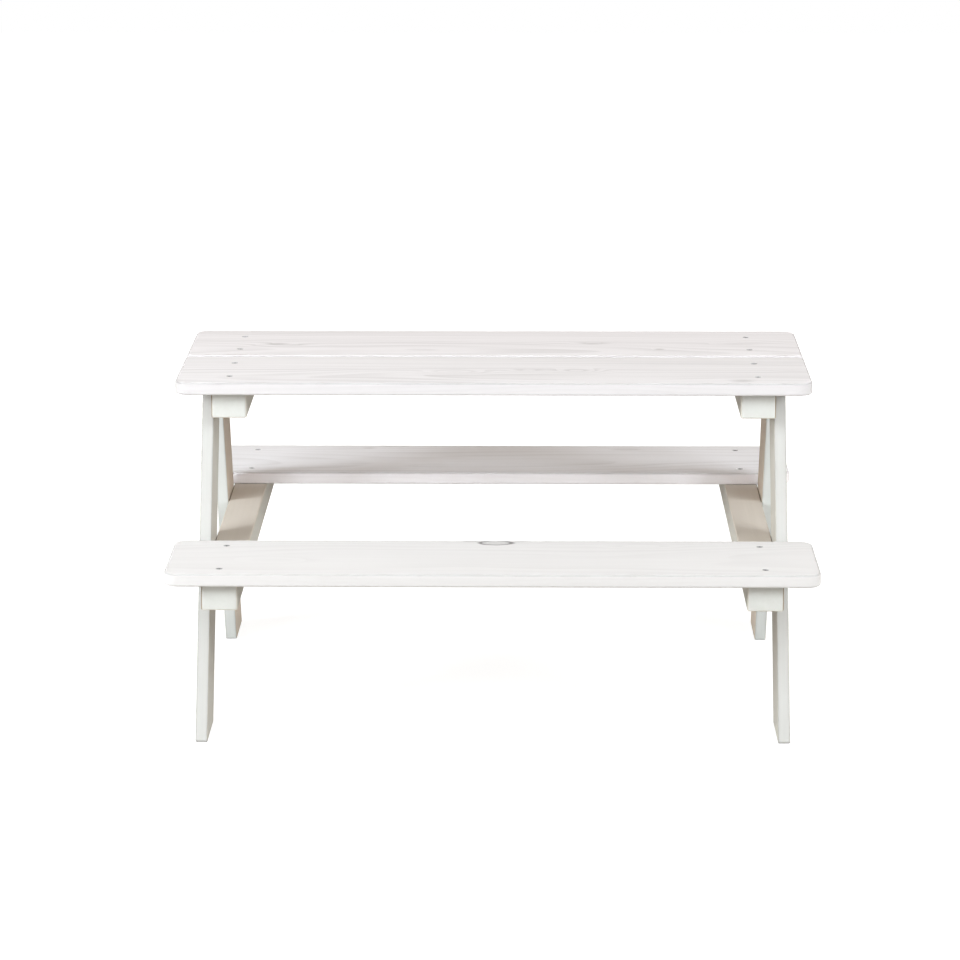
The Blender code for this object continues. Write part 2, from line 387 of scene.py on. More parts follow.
@dataclass(frozen=True)
class GlazedPine:
    """Planed pine under a white glaze that lets the rings and knots show through as faint grey.

    Attributes:
        late_wood: The colour of a ring's late wood under the glaze.
        knot: The colour of a knot's bark.
        end_grain: The colour of the sawn ends.
        bare_wood: The wood where the glaze is rubbed thin.
        arris: Painted shade on eased arrises that face up: how much of its colour they keep.
        roughness: How matt the glaze is.
        gloss: How strongly it shines.
        relief: How high the fibres stand.
        bend: How far the rings wander.
        line, fibre, streak, cloud: How dark the late wood, the fibres, the streaks and the clouds are.
        ground: How much late wood shows everywhere.
        upright_share: How much of the grain an upright face doesn't show.
        uneven: How far the rings' widths vary, in rings.
        knot_spread: How much rounder a knot's own oval is than its swirl.
        knot_bend: How far the outline of a knot strays from an oval.
        knot_body: How grey a knot's middle is.
        knot_rings, knot_ripple: How close its rings stand, and how much they darken it.
        bark_line, bark_reach: Where its bark line lies, and how far it fades to either side.
        end_share: How much of the end grain's colour the sawn ends take.
        rub_share: How much of the bare wood shows where the glaze is rubbed.
        patch_waves, fibre_waves, streak_waves, cloud_waves: How many waves per metre the patches, the
            fibres, the streaks and the clouds have along X, Y and Z.
        wander_waves, knot_waves, rub_waves: The same for the wandering of the rings, the outline of a knot
            and the rubbing of the arrises.
        width_waves: The same for the rings' widths, per ring.
    """

    late_wood: tuple = (0.500, 0.475, 0.468)
    knot: tuple = (0.240, 0.228, 0.224)
    end_grain: tuple = (0.740, 0.715, 0.695)
    bare_wood: tuple = (0.800, 0.735, 0.650)
    arris: tuple = (0.760, 0.760, 0.760)
    roughness: float = 0.85
    gloss: float = 0.06
    relief: float = 0.00010
    bend: float = 0.045
    line: float = 0.32
    fibre: float = 0.34
    streak: float = 0.40
    cloud: float = 0.12
    ground: float = 0.05
    upright_share: float = 0.75
    uneven: float = 1.6
    knot_spread: float = 1.6
    knot_bend: float = 0.35
    knot_body: float = 0.22
    knot_rings: float = 22.0
    knot_ripple: float = 0.10
    bark_line: float = 0.97
    bark_reach: float = 0.30
    end_share: float = 0.55
    rub_share: float = 0.15
    patch_waves: tuple = (2.2, 24.0, 24.0)
    fibre_waves: tuple = (7.0, 380.0, 380.0)
    streak_waves: tuple = (1.4, 60.0, 60.0)
    cloud_waves: tuple = (1.1, 13.0, 13.0)
    wander_waves: tuple = (1.5, 5.0, 5.0)
    width_waves: tuple = (0.55, 0.0, 0.0)
    knot_waves: tuple = (60.0, 90.0, 60.0)
    rub_waves: tuple = (14.0, 40.0, 40.0)

    def dress(self, name: str, stock: Stock) -> bpy.types.Material:
        """The finish of one board: its grain and knots under the glaze, then its ends, edges and arrises.

        How dark a place is, is the sum of its late wood, fibres, streaks and clouds, each times its share,
        less on an upright face, plus its smudge. By that much the late wood's colour lies over the glaze.
        An arris shows bare wood where its wear, the fibres and slow noise together pass a step. The upright
        faces then take the board's painted light tone, and the arrises that face up a painted shade.

        Args:
            name: The material's name.
            stock: The board's timber.

        Returns:
            The material.
        """
        sheet = NodeSheet(name)
        math = sheet.math
        place = sheet.place()
        late, stain = self.rings(sheet, stock, place)
        patch = sheet.fade(sheet.noise(place, self.patch_waves), 0.36, 0.64, 0.25, 1.0)
        fibre = sheet.swing(place, self.fibre_waves, 3.0, 0.6)
        dark = math("MULTIPLY", math("MULTIPLY", late, patch), self.line)
        dark = math("MULTIPLY_ADD", fibre, self.fibre, dark)
        dark = math("MULTIPLY_ADD", sheet.swing(place, self.streak_waves), self.streak, dark)
        dark = math("MULTIPLY_ADD", sheet.swing(place, self.cloud_waves), self.cloud, dark)
        dark = math("MULTIPLY", dark, stock.contrast)
        facing = sheet.parts(sheet.facing())
        upright = sheet.fade(math("ABSOLUTE", facing[2]), 0.98, 0.60)
        dark = math("MULTIPLY", dark, math("MULTIPLY_ADD", upright, -self.upright_share, 1.0))
        streaky = math("MULTIPLY", stain, sheet.fade(fibre, -0.14, 0.14, 0.45, 1.15))
        dark = math("ADD", math("ADD", dark, streaky), self.ground, clamp=True)
        # The glaze colour is partly painted light, set for each board.
        colour = sheet.blend(dark, stock.glaze, self.late_wood)
        for figure in stock.figures:
            if figure.core:
                colour = self.knotted(sheet, colour, place, figure)
        end = sheet.fade(math("ABSOLUTE", facing[0]), *TURNED, 0.0, self.end_share)
        colour = sheet.blend(end, colour, self.end_grain)
        # Painted light: the upright faces take each board's own edge tone.
        colour = sheet.blend(upright, colour, stock.edge, "MULTIPLY")
        eased = sheet.eased()
        worn = math("ADD", eased, math("MULTIPLY", fibre, 1.2))
        worn = math("ADD", worn, math("MULTIPLY", sheet.swing(place, self.rub_waves), 0.8))
        colour = sheet.blend(sheet.fade(worn, 0.85, 1.25, 0.0, self.rub_share), colour, self.bare_wood)
        # Painted shade on the eased arrises that face up.
        painted_arris_shade = math("MULTIPLY", sheet.fade(eased, 0.4, 1.0), sheet.fade(facing[2], -0.1, 0.2))
        colour = sheet.blend(painted_arris_shade, colour, self.arris, "MULTIPLY")
        sheet.shader.inputs["Specular IOR Level"].default_value = self.gloss
        rough = math("MULTIPLY_ADD", late, -0.05, math("MULTIPLY_ADD", fibre, 0.25, self.roughness))
        height = math("SUBTRACT", fibre, math("MULTIPLY", late, 0.5))
        return sheet.finish(colour, rough, height, self.relief)

    def rings(
        self, sheet: NodeSheet, stock: Stock, place: bpy.types.NodeSocket
    ) -> tuple[bpy.types.NodeSocket, Feed]:
        """The year's rings, and the smudges that stand in them.

        A ring is where the distance from the pith, bent by slow noise and pushed aside by each figure,
        passes a whole number of ring widths. Its late wood is a dark line that comes up slowly and ends
        sharply.

        Args:
            sheet: The board's node sheet.
            stock: The board's timber.
            place: The point on the board.

        Returns:
            How much late wood shows, and how grey the place is.
        """
        math = sheet.math
        x, y, z = sheet.parts(place)
        wander = math("MULTIPLY", sheet.swing(place, self.wander_waves), self.bend)
        pith_y = math("MULTIPLY", x, stock.slope_across)
        pith_z = math("MULTIPLY", x, stock.slope_height)
        across = math("SUBTRACT", math("SUBTRACT", y, stock.pith_across), pith_y)
        height = math("SUBTRACT", math("SUBTRACT", z, stock.pith_height), pith_z)
        rings = math("DIVIDE", math("ADD", sheet.length(across, height), wander), stock.ring)
        stain: Feed = 0.0
        for figure in stock.figures:
            out = sheet.oval(x, y, (figure.along, figure.across), (figure.length, figure.width))
            rings = math("ADD", rings, sheet.fade(out, 1.0, 0.0, 0.0, figure.lift))
            stain = math("ADD", stain, sheet.fade(out, 0.9, 0.1, 0.0, figure.stain))
        spaced = sheet.add("CombineXYZ")
        sheet.feed(spaced.inputs[0], rings)
        uneven = math("MULTIPLY", sheet.noise(spaced.outputs[0], self.width_waves, 1.0), self.uneven)
        turn = math("FRACT", math("ADD", rings, uneven))
        return math("MULTIPLY", sheet.fade(turn, 0.30, 0.90), sheet.fade(turn, 1.0, 0.94)), stain

    def knotted(
        self, sheet: NodeSheet, colour: bpy.types.NodeSocket, place: bpy.types.NodeSocket, figure: Figure
    ) -> bpy.types.NodeSocket:
        """Lay a knot's own oval over the board's colour: a grey body with rings and a darker bark line.

        The bark line is strongest at the knot's two ends and along its rear rim.

        Args:
            sheet: The board's node sheet.
            colour: The board's colour so far.
            place: The point on the board.
            figure: The knot.

        Returns:
            The colour with the knot in it.
        """
        math = sheet.math
        x, y, _ = sheet.parts(place)
        half = (figure.core, figure.core * figure.width / figure.length * self.knot_spread)
        out = sheet.oval(x, y, (figure.along, figure.across), half)
        out = math("ADD", out, math("MULTIPLY", sheet.swing(place, self.knot_waves), self.knot_bend))
        body = sheet.fade(out, 1.05, 0.9, 0.0, self.knot_body)
        ripple = math("MULTIPLY", math("SINE", math("MULTIPLY", out, self.knot_rings)), self.knot_ripple)
        bark = sheet.fade(math("ABSOLUTE", math("SUBTRACT", out, self.bark_line)), self.bark_reach, 0.0)
        aside = math("ABSOLUTE", math("DIVIDE", math("SUBTRACT", x, figure.along), half[0]))
        rearward = math("DIVIDE", math("SUBTRACT", y, figure.across), half[1])
        strong = (sheet.fade(aside, 0.35, 0.85, 0.80, 0.95), sheet.fade(rearward, 0.2, 0.7))
        bark = math("MULTIPLY", bark, math("MAXIMUM", *strong))
        inside = math("MULTIPLY", ripple, sheet.fade(out, 1.0, 0.9))
        share = math("ADD", math("ADD", body, bark), inside, clamp=True)
        return sheet.blend(share, colour, self.knot)


@dataclass(frozen=True)
class OffWhitePaint:
    """Brushed off-white satin paint, through which the fibres of the wood stand up a little.

    Attributes:
        coat: The colour of the thin parts of the coat, with the run's painted light in it.
        thick: The colour of its thick parts, with the same painted light.
        ends: Painted light: how much of that colour the faces toward the front and rear keep.
        sides: Painted light: how much of it the faces toward the two ends keep.
        hidden: The colour outside the frame and behind it.
        arris: Painted shade on eased arrises: how much of its colour they keep.
        thin: The colour where the paint is rubbed thin.
        groove: Painted shade, the dark line where a rail's arris lies against a leg.
        roughness: How matt the paint is.
        gloss: How strongly it shines.
        relief: How high the fibres stand.
        blur: Half the width over which that painted shade begins.
        hidden_mottle: How much lighter the thick parts are there.
        rub_share: How much of the thin paint's colour shows where the paint is rubbed.
        brush_waves, fibre_waves, mottle_waves, rub_waves: How many waves per metre the brush marks, the
            fibres, the mottling and the rubbing of the arrises have along X, Y and Z.
    """

    coat: tuple
    thick: tuple
    ends: tuple = (1.0, 1.0, 1.0)
    sides: tuple = (1.0, 1.0, 1.0)
    hidden: tuple = (0.605, 0.578, 0.533)
    arris: tuple = (0.860, 0.860, 0.860)
    thin: tuple = (0.660, 0.620, 0.540)
    groove: tuple = (0.260, 0.200, 0.140)
    roughness: float = 0.60
    gloss: float = 0.08
    relief: float = 0.00009
    blur: float = 0.001
    hidden_mottle: float = 0.05
    rub_share: float = 0.45
    brush_waves: tuple = (4.0, 260.0, 260.0)
    fibre_waves: tuple = (2.5, 70.0, 70.0)
    mottle_waves: tuple = (9.0, 9.0, 9.0)
    rub_waves: tuple = (28.0, 28.0, 28.0)

    def dress(self, name: str, run: Run) -> bpy.types.Material:
        """The finish of the pieces whose fibres run one way.

        The thickness of the coat is the sum of its mottling, brush marks and fibres. The faces toward the
        front and rear and toward the ends, and the eased arrises, take tones of painted light. A face is
        hidden where it looks to the rear, or outwards on its own half of the table. A painted shade lies on a
        rail's edge where it meets a leg: it begins where the distance from the middle, plus the height times
        the tangent of the splay, passes the legs' inner edge.

        Args:
            name: The material's name.
            run: Which way the fibres run.

        Returns:
            The material.
        """
        sheet = NodeSheet(name)
        math = sheet.math
        place = sheet.place()
        mapping = sheet.add("Mapping")
        sheet.feed(mapping.inputs["Vector"], place)
        mapping.inputs["Rotation"].default_value = run.value
        lengthwise = mapping.outputs[0]
        brush = sheet.swing(lengthwise, self.brush_waves)
        fibre = sheet.swing(lengthwise, self.fibre_waves, 3.0, 0.6)
        mottle = sheet.noise(place, self.mottle_waves, 3.0)
        coat = math("MULTIPLY_ADD", fibre, 1.1, math("MULTIPLY_ADD", brush, 0.7, mottle))
        thickness = sheet.fade(coat, 0.25, 0.75)
        colour = sheet.blend(thickness, self.coat, self.thick)
        facing = sheet.parts(sheet.facing())
        # Painted light: the faces toward the front and rear, and toward the ends, take their own tones.
        for axis, share in ((1, self.ends), (0, self.sides)):
            turned = sheet.fade(math("ABSOLUTE", facing[axis]), *TURNED)
            colour = sheet.blend(turned, colour, share, "MULTIPLY")
        x, y, z = sheet.parts(place)
        outward = math("MULTIPLY", math("SIGN", x), facing[0])
        away = sheet.fade(math("MAXIMUM", outward, facing[1]), *TURNED)
        lighter = sheet.fade(coat, 0.25, 0.75, 0.0, self.hidden_mottle)
        colour = sheet.blend(away, colour, sheet.blend(lighter, self.hidden, (1.0, 1.0, 1.0)))
        eased = sheet.eased()
        # Painted shade on the eased arrises.
        colour = sheet.blend(sheet.fade(eased, 0.1, 0.8), colour, self.arris, "MULTIPLY")
        worn = math("ADD", math("MINIMUM", eased, 1.0), math("MULTIPLY", brush, 0.8))
        worn = math("ADD", worn, math("MULTIPLY", sheet.swing(place, self.rub_waves), 1.2))
        colour = sheet.blend(sheet.fade(worn, 0.70, 1.20, 0.0, self.rub_share), colour, self.thin)
        # Painted shade on a rail's edge where it lies against a leg.
        beside = math("MULTIPLY_ADD", z, tan(SPLAY), math("ABSOLUTE", y))
        past_leg = sheet.fade(beside, LEG_LINE - self.blur, LEG_LINE + self.blur)
        crease_shade_share = math("MULTIPLY", sheet.fade(eased, 1.1, 1.9), past_leg)
        colour = sheet.blend(crease_shade_share, colour, self.groove)
        sheet.shader.inputs["Specular IOR Level"].default_value = self.gloss
        rough = math("MULTIPLY_ADD", coat, 0.16, self.roughness - 0.08)
        return sheet.finish(colour, rough, math("ADD", brush, fibre), self.relief)


@dataclass(frozen=True)
class ZincPlate:
    """Dull grey plating, darker in the cross recess.

    Attributes:
        zinc: The colour of the duller plating.
        bright: The colour of the brighter plating.
        grime: The colour in the cross recess.
        roughness: How matt the plating is where it is smooth.
        scuffed: How matt it is where it is scuffed.
        relief: How high the scuffs stand.
        scuff_waves, bloom_waves: How many waves per metre the scuffs and the dull patches have.
    """

    zinc: tuple = (0.190, 0.185, 0.180)
    bright: tuple = (0.300, 0.298, 0.294)
    grime: tuple = (0.060, 0.056, 0.052)
    roughness: float = 0.38
    scuffed: float = 0.58
    relief: float = 0.00003
    scuff_waves: tuple = (900.0, 900.0, 900.0)
    bloom_waves: tuple = (260.0, 260.0, 260.0)

    def dress(self, name: str) -> bpy.types.Material:
        """The finish of all screws: patches of two greys, and darker where wear and scuffs pass a step.

        Args:
            name: The material's name.

        Returns:
            The material.
        """
        sheet = NodeSheet(name)
        place = sheet.place()
        scuff = sheet.noise(place, self.scuff_waves, 3.0, 0.65)
        bloom = sheet.noise(place, self.bloom_waves)
        colour = sheet.blend(sheet.fade(bloom, 0.35, 0.65), self.zinc, self.bright)
        # Darker in the cross recess, where the wear is highest.
        grime = sheet.fade(sheet.math("MULTIPLY_ADD", scuff, 0.4, sheet.eased()), 0.5, 1.2)
        colour = sheet.blend(grime, colour, self.grime)
        sheet.shader.inputs["Metallic"].default_value = 1.0
        rough = sheet.fade(scuff, 0.3, 0.7, self.roughness, self.scuffed)
        return sheet.finish(colour, rough, scuff, self.relief)


@dataclass
class Shell:
    """A closed surface that is put together from rings and sheets of points.

    Attributes:
        points: The blocks of points.
        wear: For each block, how worn its points are.
        faces: Blocks of faces as point numbers.
        count: How many points there are.
    """

    points: list[np.ndarray] = field(default_factory=list)
    wear: list[np.ndarray] = field(default_factory=list)
    faces: list[np.ndarray] = field(default_factory=list)
    count: int = 0

    def put(self, points: np.ndarray, wear: np.ndarray | float = 0.0) -> np.ndarray:
        """Add points.

        Args:
            points: An array whose last axis is X, Y and Z.
            wear: How worn each point is, or one value for all.

        Returns:
            Their numbers, arranged as the points are.
        """
        shape = points.shape[:-1]
        numbers = self.count + np.arange(int(np.prod(shape))).reshape(shape)
        self.points.append(points.reshape(-1, 3))
        self.wear.append(np.broadcast_to(np.asarray(wear, float), shape).ravel())
        self.count += numbers.size
        return numbers

    def sheet(self, numbers: np.ndarray, kept: np.ndarray) -> None:
        """Fill the kept cells of a grid of point numbers with four-sided faces."""
        quads = np.stack([numbers[:-1, :-1], numbers[1:, :-1], numbers[1:, 1:], numbers[:-1, 1:]], axis=-1)
        self.faces.append(quads[kept])

    def skin(self, rings: list[np.ndarray]) -> None:
        """Join each closed ring of point numbers to the next.

        Args:
            rings: The rings, all of one length.
        """
        stack = np.stack(rings)
        after = np.roll(stack, -1, axis=1)
        quads = np.stack([stack[:-1], after[:-1], after[1:], stack[1:]], axis=-1)
        self.faces.append(quads.reshape(-1, 4))

    def stop(self, ring: np.ndarray) -> None:
        """Close a ring of point numbers with one face."""
        self.faces.append(ring[None, :])

    def mark(self, direction: np.ndarray, reach: float, value: float) -> None:
        """Give every point farther out than a reach along a direction another wear."""
        self.wear = [np.where(p @ direction > reach, value, w) for p, w in zip(self.points, self.wear)]

    def to_object(self, name: str, material: bpy.types.Material, sharp: float = SMOOTH) -> bpy.types.Object:
        """Make the mesh object, with unused points left out and every face turned outwards.

        The sum over the faces of a corner's triple product with its neighbours is six times the volume, and
        where it comes out negative all faces are turned round.

        Args:
            name: The object's name.
            material: Its finish.
            sharp: The angle from which an edge is shaded sharp.

        Returns:
            The object, linked to the scene.
        """
        points = np.concatenate(self.points)
        used = np.unique(np.concatenate([block.ravel() for block in self.faces]))
        renumber = np.zeros(len(points), int)
        renumber[used] = np.arange(len(used))
        blocks = [renumber[block] for block in self.faces]
        points = points[used]
        volume = 0.0
        for block in blocks:
            corner = points[block]
            cross = np.cross(corner[:, 1:-1], corner[:, 2:])
            volume += float(np.einsum("fk,fnk->", corner[:, 0], cross))
        if volume < 0:
            blocks = [block[:, ::-1] for block in blocks]
        mesh = bpy.data.meshes.new(name)
        mesh.from_pydata(points, [], [row for block in blocks for row in block.tolist()])
        worn = mesh.attributes.new(WEAR_AND_SHADE, "FLOAT", "POINT")
        worn.data.foreach_set("value", np.concatenate(self.wear)[used].astype(np.float32))
        mesh.materials.append(material)
        mesh.shade_smooth()
        mesh.set_sharp_from_angle(angle=sharp)
        item = bpy.data.objects.new(name, mesh)
        bpy.context.scene.collection.objects.link(item)
        return item


def middle_and_size(node: str) -> tuple[Vector, list[float]]:
    """The middle of a node's box, and its size along X, Y and Z."""
    low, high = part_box(node)
    return (low + high) / 2, [b - a for a, b in zip(low, high)]


def stand_in(item: bpy.types.Object, node: str) -> bpy.types.Object:
    """Let a finished piece ride on the part and stand for its node.

    Args:
        item: The piece.
        node: The node's name.

    Returns:
        The piece.
    """
    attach(item, BODY)
    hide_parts(node)
    LOG.info("%s stands for %s, %d faces", item.name, node, len(item.data.polygons))
    return item


@dataclass(frozen=True)
class Hole:
    """A round screw hole in a plate.

    Attributes:
        centre: Its place in the plate's plane.
        profile: Pairs of a radius and a depth below the face, from the mouth inwards.
        through: Whether it opens at the back.
    """

    centre: tuple[float, float]
    profile: tuple[tuple[float, float], ...]
    through: bool = True


@dataclass
class Plate:
    """A flat piece of wood with rounded corners, eased arrises and screw holes.

    Attributes:
        low: The plan's lowest corner, before it leans.
        high: The plan's highest corner, before it leans.
        thickness: How thick the plate is.
        radii: The corner radii, by the low or high end of the first axis and then of the second.
        arris: The radius of every eased arris.
        placing: Which way the plan's two axes and the height over the back go, and their origin.
        lean: How far the plan leans along its first axis, per length of its second.
        holes: The screw holes.
        block: The side of the square of grid cells that a hole takes the place of.
        spacing: The widest distance between grid lines.
        corner_steps, arris_steps, side_steps: How many steps a corner, an arris and a side have.
        hole_steps: How many cells that square has along a side.
        raster: The step to which the grid lines between the holes are rounded.
        apart: The nearest that such a line may come to a line of a hole.
        margins: How far the first lines stand in from the edge, to carry the wear.
        lip: How far a hole's mouth is eased.
        edge_wear, mouth_wear, bore_wear: How worn the plate's edge, a hole's mouth and its wall are.
    """

    low: tuple[float, float]
    high: tuple[float, float]
    thickness: float
    radii: tuple[tuple[float, float], tuple[float, float]]
    arris: float
    placing: np.ndarray
    lean: float = 0.0
    holes: tuple[Hole, ...] = ()
    block: float = 0.016
    spacing: float = 0.030
    corner_steps: int = 7
    arris_steps: int = 6
    side_steps: int = 4
    hole_steps: int = 8
    raster: float = 0.00025
    apart: float = 0.0002
    margins: tuple[float, ...] = (0.001, 0.0025, 0.006)
    lip: float = 0.00018
    edge_wear: float = 0.4
    mouth_wear: float = 0.5
    bore_wear: float = 0.9

    @classmethod
    def level(cls, node: str, **sizes: object) -> "Plate":
        """A plate that lies level in its node's box.

        Args:
            node: The node's name.
            sizes: The plate's other sizes.

        Returns:
            The plate.
        """
        low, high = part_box(node)
        placing = np.array([[1, 0, 0], [0, 1, 0], [0, 0, 1], [0, 0, low.z]], float)
        return cls((low.x, low.y), (high.x, high.y), high.z - low.z, placing=placing, **sizes)

    def stations(self, axis: int, inset: float, centres: list[float]) -> np.ndarray:
        """Grid lines along one axis: close through the corners and the holes, and wide between them.

        In a corner they stand at the tangents of equal angles, so that the corner's arc has equal steps.

        Args:
            axis: Nought for the plan's first axis, one for its second.
            inset: How far the flat stands in from the plan's edge.
            centres: Where holes stand along this axis.

        Returns:
            The lines' places, in order.
        """
        low = self.low[axis] + inset
        high = self.high[axis] - inset
        radii = np.array(self.radii) - self.arris
        ends = radii if axis == 0 else radii.T
        share = 1 - np.tan(np.linspace(0, pi / 4, self.corner_steps + 1))
        loose = np.concatenate([
            *(low + radius * share for radius in ends[0]),
            *(high - radius * share for radius in ends[1]),
            low + np.array(self.margins),
            high - np.array(self.margins),
        ])
        half = self.block / 2
        span = np.linspace(-half, half, self.hole_steps + 1)
        squares = [np.round(centre, 6) + span for centre in centres]
        fixed = np.unique(np.round(np.concatenate([[low, high], *squares]), 9))
        loose = np.unique(np.round(loose / self.raster) * self.raster)
        clear = np.abs(loose[:, None] - fixed[None, :]).min(axis=1) > self.apart
        lines = np.sort(np.concatenate([fixed, loose[clear & (loose > low) & (loose < high)]]))
        gaps = zip(lines[:-1], lines[1:])
        filled = [np.linspace(a, b, int(np.ceil((b - a) / self.spacing)), endpoint=False) for a, b in gaps]
        return np.concatenate([*filled, [high]])

    def round_corners(self, grid: np.ndarray) -> np.ndarray:
        """Draw each square corner of the grid in to a quarter disc.

        A point of the corner's square lies on a smaller square about the corner's centre, and goes to the
        circle in that square along its own ray.

        Args:
            grid: The grid's points in the plan.

        Returns:
            The moved points.
        """
        moved = grid.copy()
        low = grid[0, 0]
        high = grid[-1, -1]
        for end_a in (0, 1):
            for end_b in (0, 1):
                radius = self.radii[end_a][end_b] - self.arris
                corner = np.array([(low, high)[end_a][0], (low, high)[end_b][1]])
                outward = np.array([2 * end_a - 1, 2 * end_b - 1])
                centre = corner - outward * radius
                away = (grid - centre) * outward
                inside = (away > 0).all(axis=-1)
                offset = away[inside]
                pull = offset.max(axis=1) / np.hypot(offset[:, 0], offset[:, 1])
                moved[inside] = centre + offset * pull[:, None] * outward
        return moved

    def outward_normals(self, rim: np.ndarray) -> np.ndarray:
        """Unit normals of the plan's rim, from each point's offset to the core that its corner turns about.

        Args:
            rim: The rim's points before the plan leans.

        Returns:
            The normals after it leans.
        """
        low = rim.min(axis=0)
        high = rim.max(axis=0)
        middle = (low + high) / 2
        ends = (rim > middle).astype(int)
        radius = (np.array(self.radii) - self.arris)[ends[:, 0], ends[:, 1]][:, None]
        offset = rim - np.clip(rim, low + radius, high - radius)
        normal = np.stack([offset[:, 0], offset[:, 1] - self.lean * offset[:, 0]], axis=1)
        return normal / np.linalg.norm(normal, axis=1)[:, None]

    def laid(self, plan: np.ndarray, height: np.ndarray | float) -> np.ndarray:
        """Points of the plan at a height over the back, in the row frame.

        Each is the origin, plus the plan's two places and the height, each times its own direction.

        Args:
            plan: Points of the plan, leaning already.
            height: Their height over the plate's back.

        Returns:
            The points.
        """
        heights = np.broadcast_to(np.asarray(height, float), plan.shape[:-1])
        local = np.concatenate([plan, heights[..., None]], axis=-1)
        return local @ self.placing[:3] + self.placing[3]

    def leaning(self, plan: np.ndarray) -> np.ndarray:
        """The plan's points after it leans: the first place grows with the second."""
        return np.stack([plan[..., 0] + self.lean * plan[..., 1], plan[..., 1]], axis=-1)

    def shell(self) -> Shell:
        """The plate's whole surface.

        The face and the back are one grid at two heights. From the face's rim, rings go outwards by the
        sine of the arris angle and down by one less its cosine, along the side, and round the lower arris to
        the back.

        Returns:
            The closed shell.
        """
        inset = self.arris * hypot(1.0, self.lean)
        centres = [(hole.centre[0] - self.lean * hole.centre[1], hole.centre[1]) for hole in self.holes]
        lines = [
            self.stations(0, inset, [centre[0] for centre in centres]),
            self.stations(1, self.arris, [centre[1] for centre in centres]),
        ]
        grid = np.stack(np.meshgrid(*lines, indexing="ij"), axis=-1)
        near_u, near_v = (np.minimum(line - line[0], line[-1] - line) for line in lines)
        near = np.minimum(near_u[:, None], near_v[None, :])
        wear = self.edge_wear * np.clip(1 - near / self.margins[1], 0, 1)
        rounded = self.round_corners(grid)
        plan = self.leaning(rounded)
        shell = Shell()
        face = shell.put(self.laid(plan, self.thickness), wear)
        back = shell.put(self.laid(plan, 0.0), wear)
        open_face = np.ones([len(line) - 1 for line in lines], bool)
        open_back = open_face.copy()
        for hole, centre in zip(self.holes, centres):
            starts = (np.abs(line - (at - self.block / 2)).argmin() for line, at in zip(lines, centre))
            cells = tuple(slice(int(start), int(start) + self.hole_steps) for start in starts)
            open_face[cells] = False
            open_back[cells] = open_back[cells] & (not hole.through)
            self.drill(shell, hole, face, back, plan, cells)
        shell.sheet(face, open_face)
        shell.sheet(back[:, ::-1], open_back[:, ::-1])
        self.wrap(shell, face, back, rounded)
        return shell

    def wrap(self, shell: Shell, face: np.ndarray, back: np.ndarray, rounded: np.ndarray) -> None:
        """Join the rim of the face to the rim of the back, round both arrises.

        Args:
            shell: The shell so far.
            face: The point numbers of the face.
            back: The point numbers of the back.
            rounded: The grid's points before the plan leans.
        """
        rim = border(rounded)
        plan = self.leaning(rim)
        normal = self.outward_normals(rim)
        turn = np.linspace(0, pi / 2, self.arris_steps + 1)[1:]
        out = self.arris * np.sin(turn)
        drop = self.arris * (1 - np.cos(turn))
        worn = self.edge_wear + (1 - self.edge_wear) * np.sin(2 * turn)
        side = np.linspace(self.thickness - self.arris, self.arris, self.side_steps + 1)[1:-1]
        ladder = [
            *zip(out, self.thickness - drop, worn),
            *((self.arris, height, 0.0) for height in side),
            *zip(out[::-1], drop[::-1], worn[::-1]),
        ]
        rings = [shell.put(self.laid(plan + normal * reach, at), value) for reach, at, value in ladder]
        shell.skin([border(back), *rings[::-1], border(face)])

    def drill(
        self,
        shell: Shell,
        hole: Hole,
        face: np.ndarray,
        back: np.ndarray,
        plan: np.ndarray,
        cells: tuple[slice, slice],
    ) -> None:
        """Line a hole: from its square of cells to its round mouth, down its profile and out at the back.

        Every ring stands on the rays from the hole's centre to the points of the square.

        Args:
            shell: The shell so far.
            hole: The hole.
            face: The point numbers of the face.
            back: The point numbers of the back.
            plan: The grid's points in the plan.
            cells: The square's cells.
        """
        corners = tuple(slice(run.start, run.stop + 1) for run in cells)
        square = border(plan[corners])
        centre = np.array(hole.centre)
        away = square - centre
        ray = away / np.linalg.norm(away, axis=1)[:, None]

        def ring(radius: float, depth: float, value: float) -> np.ndarray:
            """A circle of the hole at a depth below the face."""
            return shell.put(self.laid(centre + ray * radius, self.thickness - depth), value)

        def half_way(radius: float, depth: float) -> np.ndarray:
            """A line half way between the square of cells and a circle."""
            return shell.put(self.laid(centre + (away + ray * radius) / 2, self.thickness - depth), 0.0)

        mouth = hole.profile[0][0]
        rings = [border(face[corners]), half_way(mouth, 0.0), ring(mouth + self.lip, 0.0, self.mouth_wear)]
        rings += [ring(radius, max(depth, self.lip), self.bore_wear) for radius, depth in hole.profile]
        if hole.through:
            bore = hole.profile[-1][0]
            rings += [
                ring(bore, self.thickness - self.lip, self.bore_wear),
                ring(bore + self.lip, self.thickness, self.mouth_wear),
                half_way(bore, self.thickness),
                border(back[corners]),
            ]
        else:
            shell.stop(rings[-1])
        shell.skin(rings)


def border(grid: np.ndarray) -> np.ndarray:
    """The outermost entries of a grid, once round from its first corner."""
    return np.concatenate([grid[:-1, 0], grid[-1, :-1], grid[:0:-1, -1], grid[0, :0:-1]])


